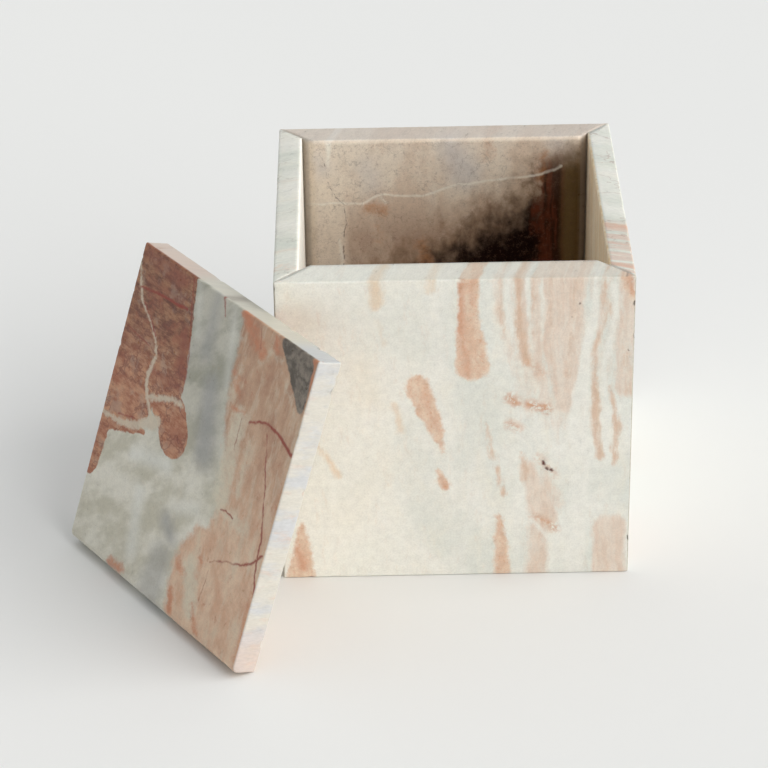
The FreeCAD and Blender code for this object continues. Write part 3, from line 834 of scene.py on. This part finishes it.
def lid_red_side(paint, plane, soft_plane, at, colour):
    """The red-brown upper left with its rounded lower lobe, its tail and its pale veins."""
    red = paint.streaks(at, [
        ((-35.0, 97.0), (-34.0, 54.0), 13.5, 13.0, 1.0),
        ((-25.0, 97.0), (-20.5, 76.0), 7.6, 8.6, 1.0),
        ((-20.5, 76.0), (-18.2, 62.0), 8.6, 8.6, 1.0),
        ((-18.2, 62.0), (-16.0, 56.0), 8.6, 7.0, 1.0),
        ((-11.5, 53.0), (-8.6, 49.0), 6.8, 7.0, 1.0),
        ((-44.4, 45.0), (-26.0, 49.0), 4.6, 4.0, 1.0),
        ((-44.6, 38.0), (-44.6, 26.0), 5.8, 5.4, 1.0),
        ((-42.0, 39.5), (-22.0, 43.4), 3.2, 0.8, 1.0),
    ], soft=0.9)
    red = paint.ragged(red, soft_plane, 2.6, 0.2, 60.0, 0.3, 0.7)
    fibre = paint.noise(paint.stretch(plane, 0.35, 1.0), 1.8, detail=5, rough=0.7, seed=67.0)
    height = paint.split(plane)[1]
    rise = paint.smooth(height, 50, 80)
    deep = paint.mix(rise, srgb(160, 95, 63), srgb(98, 45, 20))
    light = paint.mix(rise, srgb(198, 146, 111), srgb(167, 117, 81))
    body = paint.mix(paint.smooth(fibre, 0.36, 0.64), deep, light)
    patches = paint.noise(soft_plane, 6, detail=4, rough=0.6, seed=68.0)
    body = paint.mix(paint.smooth(patches, 0.5, 0.66, 0, 0.6), body, srgb(158, 88, 58))
    body = paint.mix(paint.smooth(patches, 0.48, 0.34, 0, 0.5), body, srgb(176, 150, 130))
    burnt = paint.streaks(at, [
        ((-41.0, 91.0), (-24.0, 90.0), 2.0, 3.0, 0.5),
        ((-15.0, 78.0), (-12.5, 66.0), 1.2, 2.4, 0.7),
        ((-26.0, 61.0), (-12.0, 62.0), 0.6, 1.4, 0.6),
        ((-38.0, 84.0), (-20.0, 84.5), 0.6, 1.0, 0.5),
        ((-9.0, 46.0), (-4.0, 50.0), 1.6, 1.2, 0.5),
    ], soft=2.0)
    body = paint.mix(burnt, body, srgb(138, 68, 46))
    seams = paint.hairlines(paint.stretch(soft_plane, 0.7, 1.0), 9, 0.02, 68.5)
    body = paint.mix(paint.math("MULTIPLY", seams, 0.55), body, srgb(110, 52, 38))
    colour = paint.mix(red, colour, body)
    main = paint.path(at, [(-46.0, 92.0), (-41.5, 83.0), (-38.0, 77.0), (-33.0, 74.0), (-28.0, 70.5),
                           (-25.6, 66.0), (-27.0, 60.0), (-26.4, 56.0), (-24.0, 52.0), (-21.0, 49.0)],
                      0.35, 0.9, soft=0.9)
    branch = paint.path(at, [(-25.0, 53.0), (-19.0, 55.6), (-13.0, 57.6), (-8.0, 57.4)], 1.0, 0.8, soft=1.1)
    lower = paint.path(at, [(-17.8, 48.4), (-21.0, 47.0), (-26.0, 43.6), (-34.0, 41.6), (-46.0, 40.4)],
                       2.2, 0.5, soft=1.1)
    veins = paint.math("MAXIMUM", main, paint.math("MAXIMUM", branch, lower))
    veins = paint.ragged(veins, at, 1.8, 0.35, 60.5, 0.15, 0.95)
    return paint.mix(paint.math("MULTIPLY", veins, 0.88), colour, srgb(208, 194, 172))


def lid_cracks(paint, at):
    """The fine dark cracks all over the lid, as one mask."""
    lines = [
        ([(-40.5, 81.4), (-30.0, 82.4), (-17.0, 83.2)], 0.32, 0.5),
        ([(-37.0, 77.4), (-31.0, 73.2), (-28.0, 70.8)], 0.2, 0.4),
        ([(-36.0, 43.4), (-28.0, 45.2)], 0.16, 0.2),
        ([(-44.0, 68.6), (-30.0, 67.2)], 0.1, 0.16),
        ([(-17.6, 93.0), (-15.0, 84.0), (-10.6, 72.0), (-9.6, 61.0)], 0.14, 0.24),
        ([(22.6, 66.2), (26.5, 68.4), (31.0, 69.4), (36.0, 68.2), (45.0, 65.4)], 0.35, 0.6),
        ([(31.4, 66.4), (34.6, 58.0), (38.0, 48.0), (40.6, 40.0), (41.6, 33.0), (44.0, 22.0)], 0.2, 0.42),
        ([(22.0, 23.6), (29.0, 27.0), (35.0, 29.0), (39.5, 31.4), (43.0, 35.6)], 0.16, 0.42),
        ([(-2.4, 94.4), (-1.0, 91.6), (0.5, 88.4)], 0.55, 0.12),
        ([(20.6, 39.0), (23.0, 39.8), (26.6, 39.0)], 0.2, 0.3),
        ([(19.2, 66.0), (19.4, 56.6)], 0.08, 0.12),
        ([(22.6, 21.4), (21.8, 11.5)], 0.06, 0.1),
        ([(17.0, 92.0), (19.0, 86.6)], 0.08, 0.1),
    ]
    whole = 0.0
    for points, first, last in lines:
        whole = paint.math("MAXIMUM", whole, paint.path(at, points, first, last, soft=0.35))
    return whole


def lid_edges(paint, a, b, sunk, at, colour):
    """The pale skin of the lid's two upper edge faces: cream, with grey and rose smudges."""
    smudge = paint.noise(at, 6, detail=4, rough=0.6, seed=75.0)
    rose = paint.noise(at, 4, detail=4, rough=0.65, seed=76.0)
    skin = paint.mix(paint.smooth(smudge, 0.4, 0.6), srgb(206, 201, 190), srgb(196, 196, 196))
    skin = paint.mix(paint.smooth(rose, 0.54, 0.7, 0, 0.55), skin, srgb(206, 178, 160))
    skin = paint.mix(paint.smooth(b, 18, 4, 0, 0.5), skin, srgb(214, 184, 164))
    right = paint.smooth(a, 43.5, 43.95)
    colour = paint.mix(right, colour, skin)
    left_share = paint.smooth(a, -12, -22)
    top_skin = paint.mix(left_share, srgb(200, 196, 182), srgb(202, 184, 170))
    from_middle = paint.math("ABSOLUTE", paint.math("ADD", a, 1))
    smear = paint.smooth(from_middle, 3.5, 0.5, 0, 0.6)
    top_skin = paint.mix(smear, top_skin, srgb(138, 128, 114))
    top_skin = paint.mix(paint.smooth(a, 28, 36), top_skin, srgb(190, 192, 192))
    below = paint.math("MULTIPLY", paint.smooth(b, 92.9, 93.3), paint.smooth(sunk, -0.4, -1.2))
    return paint.mix(below, colour, top_skin)


def resin_paint():
    """Stone resin, tinted to match, with a little filler grain."""
    paint = Paint("resin")
    place = paint.place()
    grain = paint.noise(place, 0.8, detail=3, rough=0.7, seed=81.0)
    colour = paint.mix(paint.smooth(grain, 0.35, 0.65), srgb(196, 188, 172), srgb(212, 206, 192))
    paint.finish(colour, roughness=paint.smooth(grain, 0.3, 0.7, 0.4, 0.55), height=grain, bump=0.05)
    return paint.material


# ---------------------------------------------------------------- worn slabs

def lid_axes():
    """The lid's own frame: along its lower edge, up its slope and out of its polished face."""
    mesh = frame["nodes"]["lid_slab"].data
    face = max(mesh.polygons, key=lambda polygon: polygon.area)
    out = face.normal.normalized()
    along = Vector((0, 0, 1)).cross(out).normalized()
    up = out.cross(along)
    spots = [vert.co for vert in mesh.vertices]
    middle = sum(minmax(spots, along)) / 2
    foot = minmax(spots, up)[0]
    surface = minmax(spots, out)[1]
    origin = along * middle + up * foot + out * surface
    return Matrix((along, up, out)).transposed().to_4x4(), origin


def minmax(spots, axis):
    """How far a set of points reaches each way along an axis."""
    reach = [spot.dot(axis) for spot in spots]
    return min(reach), max(reach)


def direction_family(edge):
    """Which way a long edge runs: 0, 1 or 2 for an axis, 3 for a mitre."""
    run = [abs(part) for part in (edge.verts[0].co - edge.verts[1].co)]
    longest = max(run)
    others = sorted(run)[:2]
    return 3 if others[1] > 0.5 * longest else run.index(longest)


def cut_fine(bm):
    """Borders each big flat face with a narrow ring and cuts all long edges into short steps.

    A face that bends round a step is first split, because cutting its edges would fold it.
    """
    hollow = [face for face in bm.faces if any(not corner.is_convex for corner in face.loops)]
    bmesh.ops.triangulate(bm, faces=hollow)
    big = [face for face in bm.faces if face.calc_area() > BIG_FACE]
    bmesh.ops.inset_individual(bm, faces=big, thickness=RING_WIDTH, use_even_offset=True)
    families = {}
    for edge in bm.edges:
        if edge.calc_length() > LONG_EDGE:
            families.setdefault(direction_family(edge), []).append(edge)
    for edges in families.values():
        longest = max(edge.calc_length() for edge in edges)
        bmesh.ops.subdivide_edges(bm, edges=edges, cuts=round(longest / ARRIS_STEP), use_grid_fill=False)


def wear(bm, planes):
    """Rubs the arrises down unevenly and knocks a few chips out of them."""
    bm.normal_update()
    for vert in bm.verts:
        depths = sorted(abs(normal.dot(spot - vert.co)) for spot, normal in planes)
        near = 1 - smoothstep(WEAR_FULL, WEAR_END, depths[0] + depths[1])
        if near > 0:
            spot = vert.co / MM
            chip = smoothstep(0.34, 0.62, noise.noise(spot * 0.3)) * CHIP_DEPTH
            rub = RUB_DEPTH * (noise.noise(spot * 1.3) + 1)
            vert.co -= vert.normal * near * (chip + rub) * MM


def smoothstep(low, high, value):
    part = min(1.0, max(0.0, (value - low) / (high - low)))
    return part * part * (3 - 2 * part)


def flat_planes(bm):
    """The planes of a slab's own flat faces, leaving out its mitred ends."""
    square = [face for face in bm.faces
              if face.calc_area() > PLANE_FACE and max(abs(part) for part in face.normal) > 0.99]
    return [(face.calc_center_median(), face.normal.copy()) for face in square]


def same_plane(one, other):
    """Whether two planes, each a point and a normal, are one.

    A plane listed twice would make its whole face count as an arris.
    """
    spot, normal = one
    return normal.dot(other[1]) > 0.999 and abs(normal.dot(other[0] - spot)) < SAME_PLANE


def box_planes():
    """The six outer planes of the bonded box, so that chips at a corner match."""
    low, high = box_extent()
    planes = []
    for axis in range(3):
        normal = Vector((0, 0, 0))
        normal[axis] = 1
        planes.append((low.copy(), -normal))
        planes.append((high.copy(), normal))
    return planes


def dress(node, body, material, axes=None, extra_planes=(), worn=True):
    """A copy of a CAD piece that stands for it, with worn arrises or left as it is."""
    axes = axes or Matrix.Identity(4)
    bm = bmesh.new()
    bm.from_mesh(frame["nodes"][node].data)
    bm.transform(axes.inverted())
    bmesh.ops.remove_doubles(bm, verts=bm.verts, dist=SAME_POINT)
    if worn:
        bmesh.ops.dissolve_limit(bm, angle_limit=SAME_FACE, verts=bm.verts, edges=bm.edges)
        planes = flat_planes(bm)
        planes += [plane for plane in extra_planes if not any(same_plane(plane, own) for own in planes)]
        cut_fine(bm)
        wear(bm, planes)
    bm.transform(axes)
    name = node + ("_worn" if worn else "_plain")
    mesh = bpy.data.meshes.new(name)
    bm.to_mesh(mesh)
    bm.free()
    mesh.polygons.foreach_set("use_smooth", [worn] * len(mesh.polygons))
    mesh.materials.append(material)
    piece = bpy.data.objects.new(name, mesh)
    bpy.context.scene.collection.objects.link(piece)
    piece.modifiers.new("flat faces", "WEIGHTED_NORMAL").keep_sharp = True
    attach(piece, body)
    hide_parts(node)
    return piece


def main():
    streak_group()
    make_camera()
    make_studio()
    outer = box_planes()
    walls = {"front_wall": front_marble, "back_wall": back_marble, "left_wall": left_marble,
             "right_wall": right_marble, "base_slab": base_marble}
    for node, marble in walls.items():
        dress(node, "box", marble(), extra_planes=outer)
    resin = resin_paint()
    dress("mitre_resin", "box", resin, extra_planes=outer)
    # The ring round the base slab is narrower than the wear is deep.
    dress("base_resin", "box", resin, worn=False)
    turn, origin = lid_axes()
    axes = Matrix.Translation(origin) @ turn
    dress("lid_slab", "lid", lid_marble(axes), axes=axes)
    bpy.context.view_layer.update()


main()
